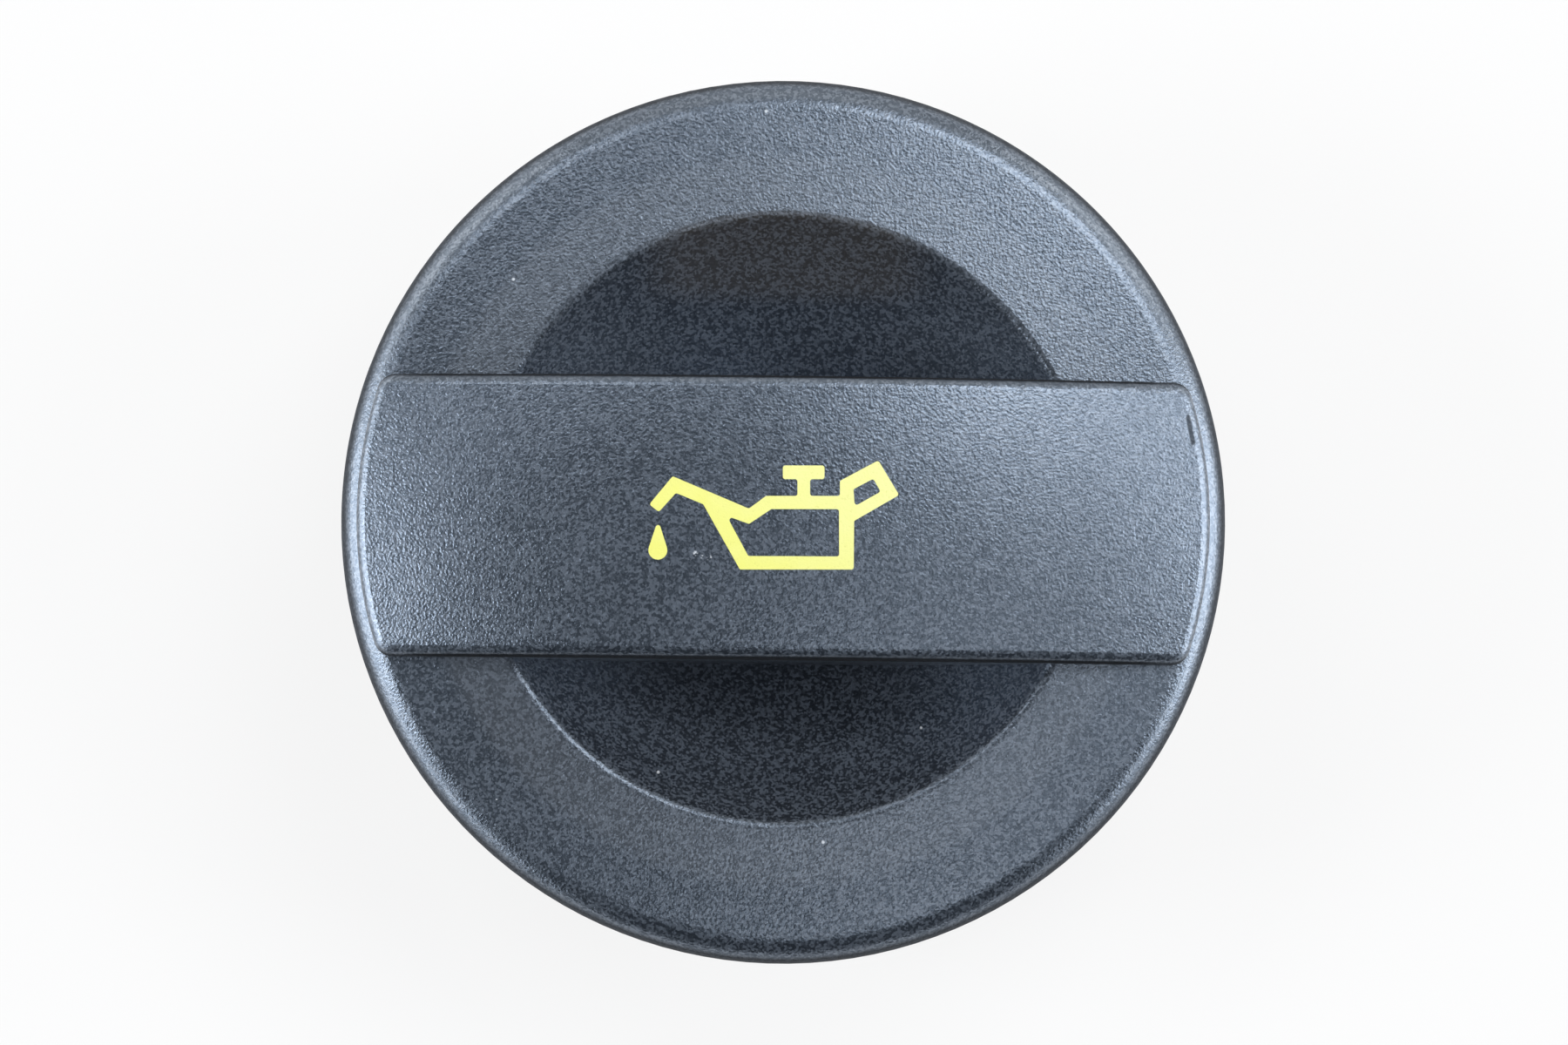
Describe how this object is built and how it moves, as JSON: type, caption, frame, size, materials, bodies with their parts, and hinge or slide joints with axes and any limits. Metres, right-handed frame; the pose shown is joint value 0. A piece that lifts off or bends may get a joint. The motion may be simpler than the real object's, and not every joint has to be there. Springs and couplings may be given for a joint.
{
  "type": "oil filler cap",
  "caption": "Round black oil filler cap with a crowned grip bar across a finger scoop, a hollow bayonet plug below and a seal ring under its flange.",
  "frame": {"origin": "centre of the plug's foot, at the bottom of the cap", "axes": "+Z along the cap's axis towards the grip bar, +X along the grip bar"},
  "size_m": [0.066, 0.066, 0.0353],
  "materials": {
    "head_plastic": "fine moulded grain, satin",
    "plug_plastic": "plain moulded, satin",
    "seal_rubber": "matte"
  },
  "bodies": {
    "root": {"cap_head": "head_plastic", "bayonet_plug": "plug_plastic", "seal_ring": "seal_rubber"}
  },
  "joints": []
}
